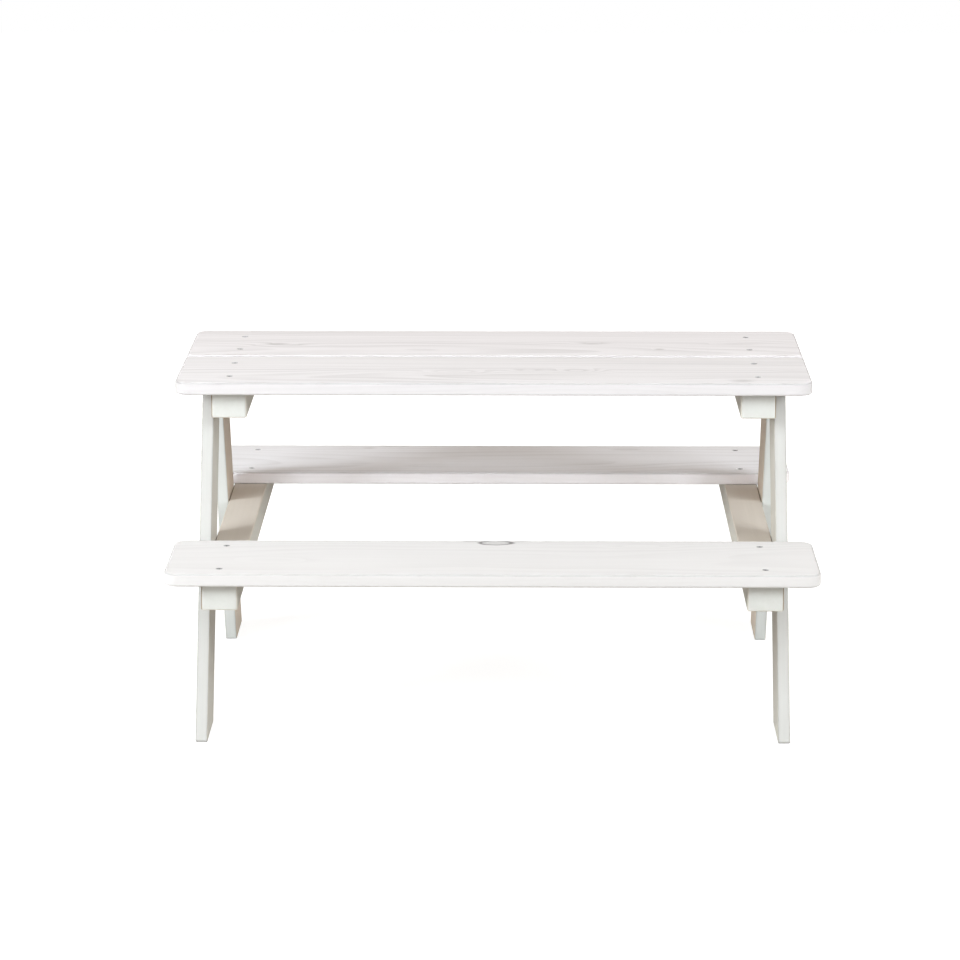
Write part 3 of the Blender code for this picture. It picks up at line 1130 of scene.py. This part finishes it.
@dataclass(frozen=True)
class WoodScrew:
    """A countersunk screw with a cross recess, a plain neck and a thread.

    Attributes:
        shank: The diameter over the thread.
        core: The diameter under the thread.
        land: The height of the head's upright rim.
        sink: How deep the head stands below the wood.
        recess: The length of the cross recess.
        slot: The width of its arms.
        depth: How deep it goes.
        foot_share: Its size at the foot, as a share of its size at the top.
        pitch: The rise of the thread in one turn.
        point: The length of the tapering point.
        plain_share: The share of the length below the head that has no thread.
        clearance: The space between the screw and its hole.
        rim_ease: How far the rims of the head and the recess are eased.
        flank_steps: How many steps an arm's flank has.
        turn_steps: How many rings one turn of the thread has.
        crest: Half the width of the thread's ridge, as a share of the pitch.
        tip_share: The size of the point's last full ring, as a share of the core.
        tip_back: How far it stands back from the end, as a share of the point.
        tip_end: The radius at the very end.
    """

    shank: float = 0.0045
    core: float = 0.0031
    land: float = 0.0006
    sink: float = 0.0005
    recess: float = 0.0052
    slot: float = 0.0012
    depth: float = 0.0018
    foot_share: float = 0.4
    pitch: float = 0.0022
    point: float = 0.006
    plain_share: float = 0.35
    clearance: float = 0.0003
    rim_ease: float = 0.00015
    flank_steps: int = 4
    turn_steps: int = 5
    crest: float = 0.3
    tip_share: float = 0.55
    tip_back: float = 0.4
    tip_end: float = 0.0002

    def bore(self, head: float, last: float) -> tuple[tuple[float, float], ...]:
        """The profile of the hole that this screw stands in.

        Below the mouth's upright rim the seat goes down as far as it goes in, to the bore.

        Args:
            head: The head's diameter.
            last: How deep the bore goes.

        Returns:
            Pairs of a radius and a depth below the wood's face.
        """
        mouth = head / 2 + self.clearance
        bore = self.shank / 2 + self.clearance
        seat = self.sink + self.land + self.clearance
        return ((mouth, 0.0), (mouth, seat), (bore, seat + mouth - bore), (bore, last))

    def directions(self) -> np.ndarray:
        """Angles once round, with one at each corner of the cross recess.

        In each quarter they run from one inner corner of the cross, by the two corners at an arm's tip, to
        the next inner corner.

        Returns:
            The angles, in order.
        """
        tip = np.arctan2(self.slot, self.recess)
        flank = np.linspace(-pi / 4, -tip, self.flank_steps + 1)
        quarter = np.concatenate([flank[:-1], np.linspace(-tip, tip, 3), -flank[::-1][1:-1]])
        return np.concatenate([quarter + turn * pi / 2 for turn in range(4)])

    def cross(self, angle: np.ndarray) -> np.ndarray:
        """Distance from the axis to the cross's outline in each direction.

        Within a quarter about an arm, that is the nearer of the arm's tip and the arm's flank.

        Args:
            angle: The directions.

        Returns:
            The distances.
        """
        turned = np.mod(angle + pi / 4, pi / 2) - pi / 4
        flank = self.slot / 2 / np.maximum(np.abs(np.sin(turned)), 1e-9)
        return np.minimum(self.recess / 2 / np.cos(turned), flank)

    def profile(self, angle: np.ndarray, head: float, length: float) -> list[tuple]:
        """The screw's rings, from the foot of the recess over the head and down the thread to the point.

        Each ring gives every direction a distance from the axis. Along the thread it rises from the core to
        the crest where the depth over the pitch, plus the direction in turns, is half way between two whole
        numbers.

        Args:
            angle: The directions.
            head: The radius of the head.
            length: The length of the screw.

        Returns:
            For each ring its distances, its height over the head and how worn it is.
        """
        cross = self.cross(angle)
        flat = np.ones_like(angle)
        shank = self.shank / 2
        core = self.core / 2
        plain = self.plain_share * length
        steps = int(round((length * (1 - self.plain_share) - self.point) / self.pitch * self.turn_steps))
        depths = np.linspace(plain, length - self.point, steps + 1)[1:]
        phase = np.mod(depths[:, None] / self.pitch + angle[None, :] / (2 * pi), 1.0)
        ridge = np.clip(1 - np.abs(phase - 0.5) / self.crest, 0, 1)
        thread = core + (shank - core) * ridge
        return [
            (cross * self.foot_share, -self.depth, 1.0),
            (cross, -self.rim_ease, 0.8),
            (cross + self.rim_ease, 0.0, 0.2),
            (flat * (head - 3 * self.rim_ease), 0.0, 0.0),
            (flat * (head - self.rim_ease), -self.rim_ease / 3, 0.0),
            (flat * head, -self.rim_ease, 0.0),
            (flat * head, -self.land, 0.0),
            (flat * shank, -(self.land + head - shank), 0.0),
            (flat * shank, -plain, 0.0),
            *((row, -depth, 0.0) for row, depth in zip(thread, depths)),
            (flat * self.core / 2 * self.tip_share, -(length - self.point * self.tip_back), 0.0),
            (flat * self.tip_end, -length, 0.0),
        ]

    def shell(self, node: str) -> Shell:
        """The screw's surface, a polar grid in the place of its node.

        Args:
            node: The screw's node, whose box gives its head, length and direction.

        Returns:
            The closed shell.
        """
        low, high = (np.array(corner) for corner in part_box(node))
        size = high - low
        axis = int(size.argmax())
        outward = np.zeros(3)
        outward[axis] = 1.0 if axis == 2 else np.sign((low + high)[axis])
        seat = (low + high) / 2
        seat[axis] = high[axis] if outward[axis] > 0 else low[axis]
        first = np.eye(3)[(axis + 1) % 3]
        second = np.cross(outward, first)
        angle = self.directions()
        spread = np.cos(angle)[:, None] * first + np.sin(angle)[:, None] * second
        head = float(np.delete(size, axis).mean()) / 2
        shell = Shell()
        rings = [
            shell.put(seat + distance[:, None] * spread + height * outward, value)
            for distance, height, value in self.profile(angle, head, float(size[axis]))
        ]
        shell.skin(rings)
        shell.stop(rings[0][::-1])
        shell.stop(rings[-1])
        return shell

    def build(self, node: str, material: bpy.types.Material) -> bpy.types.Object:
        """Make the screw that stands for a node."""
        item = self.shell(node).to_object("zinc_" + node, material)
        return stand_in(item, node)


@dataclass
class BoardPair:
    """The front and rear board of one level, with the screws that hold them down.

    Attributes:
        level: The tabletop's or the benches' level.
        stock: The timber of the front and the rear board.
        pine: The boards' finish.
        screw: The kind of screw.
        zinc: The screws' finish.
        inner_radius: The radius of the corners nearer the table's middle.
        outer_radius: The radius of the corners farther out.
        arris: The radius of the boards' arrises.
        meeting: The arrises' wear where they face each other, if not the usual; it paints shade too.
    """

    level: Level
    stock: dict[Side, Stock]
    pine: GlazedPine
    screw: WoodScrew
    zinc: bpy.types.Material
    inner_radius: float = 0.020
    outer_radius: float = 0.020
    arris: float = 0.003
    meeting: float | None = None

    def screws(self, side: Side) -> list[str]:
        """The nodes of the screws in one board."""
        return [node for end in End for node in self.level.screws(side, end)]

    def mesh_board(self, side: Side) -> Shell:
        """One board: a plate with two inner and two outer corners and a countersunk hole for each screw.

        Args:
            side: The front or the rear board.

        Returns:
            The board's shell.
        """
        board = f"{self.level.boards}_board_{side.word}"
        low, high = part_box(board)
        corners = (self.inner_radius, self.outer_radius)
        ends = corners if side is Side.REAR else corners[::-1]
        holes = []
        for node in self.screws(side):
            middle, size = middle_and_size(node)
            holes.append(Hole((middle.x, middle.y), self.screw.bore(size[0], high.z - low.z)))
        shell = Plate.level(board, radii=(ends, ends), arris=self.arris, holes=tuple(holes)).shell()
        # Where the boards meet, the arrises are worn more and take a painted shade.
        if self.meeting is not None:
            inwards = np.array([0.0, -float(side.value), 0.0])
            shell.mark(inwards, -min(abs(low.y), abs(high.y)) - self.arris, self.meeting)
        return shell

    def build(self) -> None:
        """Make both boards, each with its own rings and knots, and their screws."""
        for side in Side:
            node = f"{self.level.boards}_board_{side.word}"
            glaze = self.pine.dress(f"white glaze {self.level.boards} {side.word}", self.stock[side])
            board = self.mesh_board(side).to_object("glazed_" + node, glaze)
            stand_in(board, node)
            for screw in self.screws(side):
                self.screw.build(screw, self.zinc)


@dataclass
class EndFrame:
    """The A frame at one end: two splayed legs, two rails and the screws between them.

    Attributes:
        end: Which end it stands at.
        paint: The finish for each run of the fibres, each with its own painted light.
        screw: The kind of screw.
        zinc: The screws' finish.
        leg_radius: The corner radius of a leg's outline.
        rail_radius: The corner radius of a rail's outline.
        leg_arris: The radius of a leg's arrises.
        rail_arris: The radius of a rail's arrises.
        leg_block: The side of the square of grid cells round a leg's screw hole.
        rail_block: The same for a rail's pilot hole.
        pilot: How deep the board screws go into the rails.
        groove: How far a rail's rounded edge takes the painted shade beside the leg it lies against.
        groove_wear: The wear value that marks that painted shade, above any other.
    """

    end: End
    paint: dict[Run, bpy.types.Material]
    screw: WoodScrew
    zinc: bpy.types.Material
    leg_radius: float = 0.0042
    rail_radius: float = 0.0036
    leg_arris: float = 0.0018
    rail_arris: float = 0.0022
    leg_block: float = 0.0132
    rail_block: float = 0.012
    pilot: float = 0.027
    groove: float = 0.0016
    groove_wear: float = 2.0

    def leg_screws(self, side: Side) -> list[str]:
        """The nodes of the screws through one leg."""
        rows = ("upper", "lower")
        return [f"{level.rail}_screw_{side.word}_{self.end.word}_{row}" for level in Level for row in rows]

    def mesh_leg(self, side: Side) -> Shell:
        """One leg: a plate that leans with its splay, seen from outside, with its screw holes.

        Its plan's first axis runs level, away from the table's middle, and its second axis upwards. Cut
        level, the leg is its own width over the cosine of the splay.

        Args:
            side: The front or the rear leg.

        Returns:
            The leg's shell.
        """
        low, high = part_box(f"leg_{side.word}_{self.end.word}")
        level = LEG_WIDTH / cos(SPLAY)
        out = self.end.value
        inner_face = min(abs(low.x), abs(high.x))
        thickness = high.x - low.x
        holes = []
        for node in self.leg_screws(side):
            middle, size = middle_and_size(node)
            holes.append(Hole((abs(middle.y), middle.z), self.screw.bore(size[2], thickness)))
        return Plate(
            low=(LEG_LINE, low.z),
            high=(LEG_LINE + level, high.z),
            thickness=thickness,
            radii=((self.leg_radius,) * 2,) * 2,
            arris=self.leg_arris,
            placing=np.array([[0, side.value, 0], [0, 0, 1], [out, 0, 0], [out * inner_face, 0, 0]], float),
            lean=-tan(SPLAY),
            holes=tuple(holes),
            block=self.leg_block,
        ).shell()

    def mesh_rail(self, level: Level) -> Shell:
        """One rail: a plate seen from above, with a pilot hole for each board screw.

        Args:
            level: The level of the boards that it carries.

        Returns:
            The rail's shell.
        """
        rail = f"{level.rail}_{self.end.word}"
        low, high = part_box(rail)
        pilot = self.screw.shank / 2 + self.screw.clearance
        holes = []
        for side in Side:
            for node in level.screws(side, self.end):
                middle, _ = middle_and_size(node)
                holes.append(Hole((middle.x, middle.y), ((pilot, 0.0), (pilot, self.pilot)), False))
        shell = Plate.level(
            rail,
            radii=((self.rail_radius,) * 2,) * 2,
            arris=self.rail_arris,
            holes=tuple(holes),
            block=self.rail_block,
        ).shell()
        # A rail's edge beside its leg is marked for the painted shade.
        outward = np.array([float(self.end.value), 0.0, 0.0])
        shell.mark(outward, max(abs(low.x), abs(high.x)) - self.groove, self.groove_wear)
        return shell

    def build(self) -> None:
        """Make the legs, the rails and their screws."""
        for side, run in ((Side.FRONT, Run.UP_FRONT_LEG), (Side.REAR, Run.UP_REAR_LEG)):
            node = f"leg_{side.word}_{self.end.word}"
            leg = self.mesh_leg(side).to_object("painted_" + node, self.paint[run])
            stand_in(leg, node)
            for screw in self.leg_screws(side):
                self.screw.build(screw, self.zinc)
        for level in Level:
            node = f"{level.rail}_{self.end.word}"
            bar = self.mesh_rail(level).to_object("painted_" + node, self.paint[Run.FORE_AND_AFT])
            stand_in(bar, node)


@dataclass(frozen=True)
class Softbox:
    """A square lamp behind a white cloth, hung round the table.

    Attributes:
        name: The lamp's name.
        azimuth: Where it hangs, in degrees to the right of the camera's side.
        elevation: How high it hangs, in degrees.
        distance: How far it hangs from its target.
        side: The length of its sides.
        power: Its power in watts.
        colour: The colour of its light.
    """

    name: str
    azimuth: float
    elevation: float
    distance: float
    side: float
    power: float
    colour: tuple[float, float, float] = (0.886, 0.952, 1.0)

    def hang(self, target: Vector) -> bpy.types.Object:
        """Put the lamp in its place, facing the target.

        It hangs its distance away, in the direction that the azimuth turns and the elevation lifts.

        Args:
            target: The point it faces.

        Returns:
            The lamp.
        """
        turn = radians(self.azimuth)
        rise = radians(self.elevation)
        away = Vector((sin(turn) * cos(rise), -cos(turn) * cos(rise), sin(rise)))
        light = bpy.data.lights.new(self.name, "AREA")
        light.size = self.side
        light.energy = self.power
        light.color = self.colour
        lamp = bpy.data.objects.new(self.name, light)
        lamp.location = target + away * self.distance
        lamp.rotation_euler = away.to_track_quat("Z", "Y").to_euler()
        bpy.context.scene.collection.objects.link(lamp)
        return lamp


@dataclass(frozen=True)
class Studio:
    """The pale floor, the white surroundings, the lamps and the camera.

    Attributes:
        camera_place: Where the camera stands.
        pitch: How far it looks down, in degrees.
        yaw: How far it looks to the left of straight ahead, in degrees.
        roll: How far its frame turns, in degrees.
        focal_pixels: Its focal length in pixels of the image.
        lamps: The softboxes.
        ambient: The colour and strength of the light from all round.
        floor_colour: What the floor throws back on the table.
        floor_roughness: How matt it is.
        floor_half: Half the length of its sides.
        floor_lines: How many grid lines it has each way.
        floor_drop: How far it lies below the feet.
        floor_glow: How much white the camera sees in it under the table.
        floor_shade: How much of the lamps' light the camera sees in it besides.
        clear_radius: How far from the table's middle it becomes fully white.
        clear_start: Where it begins to turn white, as a share of that.
        aim: The point that the lamps face.
        clip: The nearest and the farthest that the camera sees.
    """

    camera_place: tuple[float, float, float] = (0.0421661, -5.2907124, 1.5248867)
    pitch: float = 12.9886
    yaw: float = 0.6861
    roll: float = 0.041
    focal_pixels: float = 3692.1145
    lamps: tuple[Softbox, ...] = (
        Softbox("wide left", -60.0, 22.0, 3.2, 0.8, 70.4),
        Softbox("inner left", -40.0, 22.0, 3.2, 0.8, 41.6),
        Softbox("inner right", 40.0, 22.0, 3.2, 0.8, 37.8),
        Softbox("wide right", 60.0, 22.0, 3.2, 0.8, 43.9),
        Softbox("far front", 0.0, 12.0, 8.0, 2.0, 73.5),
        Softbox("overhead", 0.0, 86.0, 6.0, 3.0, 106.3),
    )
    ambient: tuple[float, float, float] = (0.270, 0.208, 0.146)
    floor_colour: tuple[float, float, float] = (0.52, 0.50, 0.47)
    floor_roughness: float = 0.9
    floor_half: float = 9.0
    floor_lines: int = 13
    floor_drop: float = 0.0003
    floor_glow: float = 0.84
    floor_shade: float = 0.35
    clear_radius: float = 1.6
    clear_start: float = 0.4
    aim: tuple[float, float, float] = (0.0, 0.0, 0.3)
    clip: tuple[float, float] = (0.1, 100.0)

    def set_camera(self) -> bpy.types.Object:
        """Place the camera and make it the scene's.

        Its axes are the level right hand, turned by the yaw, and the way ahead, tipped down by the pitch.
        The right hand and the way up then turn about the way ahead by the roll.

        Returns:
            The camera.
        """
        pitch, yaw, roll = radians(self.pitch), radians(self.yaw), radians(self.roll)
        level = Vector((cos(yaw), sin(yaw), 0.0))
        ahead = Vector((-sin(yaw) * cos(pitch), cos(yaw) * cos(pitch), -sin(pitch)))
        down = ahead.cross(level)
        right = cos(roll) * level + sin(roll) * down
        up = sin(roll) * level - cos(roll) * down
        lens = bpy.data.cameras.new("camera")
        lens.sensor_width = SENSOR
        lens.lens = self.focal_pixels * SENSOR / IMAGE_SIDE
        lens.clip_start, lens.clip_end = self.clip
        camera = bpy.data.objects.new("camera", lens)
        turn = Matrix((right, up, -ahead)).transposed().to_4x4()
        camera.matrix_world = Matrix.Translation(Vector(self.camera_place)) @ turn
        bpy.context.scene.collection.objects.link(camera)
        bpy.context.scene.camera = camera
        return camera

    def seen_share(self, tree: bpy.types.NodeTree) -> bpy.types.NodeSocket:
        """One for the camera, for gloss and through glass, and nought for other light.

        Args:
            tree: The node tree of the floor or the world.

        Returns:
            The socket.
        """
        path = tree.nodes.new("ShaderNodeLightPath")
        share = path.outputs["Is Camera Ray"]
        for name in ("Is Glossy Ray", "Is Transmission Ray"):
            either = tree.nodes.new("ShaderNodeMath")
            either.operation = "MAXIMUM"
            tree.links.new(share, either.inputs[0])
            tree.links.new(path.outputs[name], either.inputs[1])
            share = either.outputs[0]
        return share

    def light_world(self) -> None:
        """Give the world its soft light, and white where it is seen."""
        world = bpy.data.worlds.new("white surroundings")
        world.use_nodes = True
        bpy.context.scene.world = world
        tree = world.node_tree
        tree.nodes.clear()
        lit = tree.nodes.new("ShaderNodeBackground")
        lit.inputs["Color"].default_value = (*self.ambient, 1.0)
        seen = tree.nodes.new("ShaderNodeBackground")
        seen.inputs["Color"].default_value = (1.0, 1.0, 1.0, 1.0)
        mix = tree.nodes.new("ShaderNodeMixShader")
        tree.links.new(self.seen_share(tree), mix.inputs[0])
        tree.links.new(lit.outputs[0], mix.inputs[1])
        tree.links.new(seen.outputs[0], mix.inputs[2])
        tree.links.new(mix.outputs[0], tree.nodes.new("ShaderNodeOutputWorld").inputs[0])

    def floor_finish(self) -> bpy.types.Material:
        """The floor's finish: plain and matt, with a glow for the camera that makes it white.

        The glow rises to full white away from the table, so that the floor has no seen end, and leaves the
        table's own soft shadow in the middle.

        Returns:
            The material.
        """
        sheet = NodeSheet("pale floor")
        tree = sheet.tree
        sheet.shader.inputs["Base Color"].default_value = (*self.floor_colour, 1.0)
        sheet.shader.inputs["Roughness"].default_value = self.floor_roughness
        sheet.shader.inputs["Specular IOR Level"].default_value = 0.0
        away = sheet.add("VectorMath", operation="LENGTH")
        sheet.feed(away.inputs[0], sheet.place())
        start = self.clear_start * self.clear_radius
        glow = sheet.fade(away.outputs[1], start, self.clear_radius, self.floor_glow, 1.0)
        shine = sheet.add("Emission")
        sheet.feed(shine.inputs["Strength"], glow)
        dim = sheet.add("BsdfDiffuse")
        dim.inputs["Color"].default_value = (*(self.floor_shade,) * 3, 1.0)
        both = sheet.add("AddShader")
        tree.links.new(shine.outputs[0], both.inputs[0])
        tree.links.new(dim.outputs[0], both.inputs[1])
        mix = sheet.add("MixShader")
        tree.links.new(self.seen_share(tree), mix.inputs[0])
        tree.links.new(sheet.shader.outputs[0], mix.inputs[1])
        tree.links.new(both.outputs[0], mix.inputs[2])
        tree.links.new(mix.outputs[0], tree.nodes["Material Output"].inputs["Surface"])
        return sheet.material

    def lay_floor(self) -> bpy.types.Object:
        """Lay the floor just under the feet, a flat grid.

        Returns:
            The floor.
        """
        lines = np.linspace(-self.floor_half, self.floor_half, self.floor_lines)
        plan = np.stack(np.meshgrid(lines, lines, indexing="ij"), axis=-1)
        points = np.concatenate([plan, np.full(plan.shape[:2] + (1,), -self.floor_drop)], axis=-1)
        shell = Shell()
        shell.sheet(shell.put(points), np.ones((len(lines) - 1, len(lines) - 1), bool))
        floor = shell.to_object("floor", self.floor_finish(), pi)
        return floor

    def build(self) -> None:
        """Set up the whole studio."""
        self.lay_floor()
        self.light_world()
        for lamp in self.lamps:
            lamp.hang(Vector(self.aim))
        self.set_camera()
        bpy.context.scene.view_settings.view_transform = "Standard"
        LOG.info("studio with %d lamps", len(self.lamps))


# The boards' glaze and edge tones hold painted light, such as the rear bench made lighter in the tabletop's
# shade.
# Each figure: along, across, half length, half width, rings pushed aside, half length of the knot, grey.
TABLETOP_STOCK = {
    Side.FRONT: Stock(
        pith_across=-0.150,
        pith_height=0.395,
        slope_across=0.02,
        slope_height=0.022,
        glaze=(0.769, 0.743, 0.747),
        edge=(0.756, 0.749, 0.747),
        contrast=1.20,
        figures=(
            Figure(-0.056, -0.119, 0.075, 0.026, 3.0, 0.0, 0.12),
            Figure(0.050, -0.108, 0.045, 0.018, 1.6, 0.0, 0.08),
            Figure(0.120, -0.112, 0.060, 0.030, 3.2, 0.0, 0.14),
            Figure(0.352, -0.178, 0.032, 0.014, 0.7, 0.0, 0.70),
            Figure(0.425, -0.106, 0.040, 0.010, 0.5, 0.0, 0.26),
        ),
    ),
    Side.REAR: Stock(
        pith_across=0.030,
        pith_height=0.300,
        slope_across=-0.02,
        slope_height=-0.015,
        glaze=(0.803, 0.772, 0.780),
        edge=(0.756, 0.749, 0.747),
        contrast=0.95,
        figures=(
            Figure(-0.312, 0.082, 0.070, 0.032, 1.1, 0.0, 0.15),
            Figure(-0.322, 0.092, 0.027, 0.014, 0.3, 0.0, 0.80),
            Figure(-0.296, 0.086, 0.022, 0.008, 0.3, 0.0, 0.45),
            Figure(-0.350, 0.080, 0.018, 0.008, 0.3, 0.0, 0.35),
            Figure(0.145, 0.100, 0.040, 0.016, 1.0, 0.0, 0.25),
            Figure(0.145, 0.098, 0.020, 0.010, 0.3, 0.0, 0.45),
            Figure(0.242, 0.054, 0.016, 0.010, 0.8, 0.0, 0.75),
            Figure(0.353, 0.095, 0.060, 0.014, 0.6, 0.0, 0.28),
        ),
    ),
}
BENCH_STOCK = {
    Side.FRONT: Stock(
        pith_across=-0.330,
        pith_height=0.090,
        slope_across=0.01,
        slope_height=0.012,
        glaze=(0.676, 0.656, 0.646),
        edge=(0.875, 0.870, 0.869),
        contrast=0.60,
        figures=(
            Figure(0.004, -0.2290, 0.095, 0.0303, 3.0, 0.0232),
            Figure(-0.0330, -0.2190, 0.018, 0.009, 0.0, 0.0, 1.6),
            Figure(0.0395, -0.2185, 0.014, 0.007, 0.0, 0.0, 1.0),
            Figure(-0.300, -0.330, 0.090, 0.030, 1.4),
            Figure(0.210, -0.250, 0.080, 0.020, 1.2),
        ),
    ),
    Side.REAR: Stock(
        pith_across=0.300,
        pith_height=0.120,
        slope_across=0.02,
        slope_height=-0.018,
        glaze=(0.927, 0.918, 0.945),
        edge=(1.053, 1.021, 1.014),
        contrast=0.65,
        figures=(
            Figure(-0.200, 0.388, 0.022, 0.008, 1.0, 0.0, 0.25),
            Figure(-0.160, 0.402, 0.040, 0.008, 1.0, 0.0, 0.35),
            Figure(0.205, 0.382, 0.045, 0.010, 1.4, 0.0, 0.35),
        ),
    ),
}
# Painted light in each run: front legs darker than rear legs and rails; sides lighter, darker or warmer per
# run.
PAINTS_WITH_PAINTED_LIGHT = {
    Run.FORE_AND_AFT: OffWhitePaint(
        coat=(0.646, 0.585, 0.515),
        thick=(0.672, 0.611, 0.541),
        ends=(0.815, 0.893, 0.958),
        sides=(0.790, 0.825, 0.825),
        arris=(1.000, 0.990, 0.970),
    ),
    Run.UP_FRONT_LEG: OffWhitePaint(
        coat=(0.480, 0.470, 0.450),
        thick=(0.501, 0.492, 0.472),
        sides=(1.085, 1.045, 0.970),
    ),
    Run.UP_REAR_LEG: OffWhitePaint(
        coat=(0.660, 0.674, 0.656),
        thick=(0.690, 0.704, 0.688),
        sides=(1.005, 0.850, 0.725),
    ),
}


def main() -> None:
    """Dress the table and set up the studio round it."""
    logging.basicConfig(level=logging.INFO, format="%(name)s: %(message)s")
    screw = WoodScrew()
    zinc = ZincPlate().dress("dull zinc")
    pine = GlazedPine()
    paint = {
        run: coat.dress("off white " + run.name.lower().replace("_", " "), run)
        for run, coat in PAINTS_WITH_PAINTED_LIGHT.items()
    }
    BoardPair(Level.TABLETOP, TABLETOP_STOCK, pine, screw, zinc, inner_radius=0.004, meeting=0.6).build()
    BoardPair(Level.BENCH, BENCH_STOCK, pine, screw, zinc).build()
    for end in End:
        EndFrame(end, paint, screw, zinc).build()
    Studio().build()


if __name__ == "__main__":
    main()
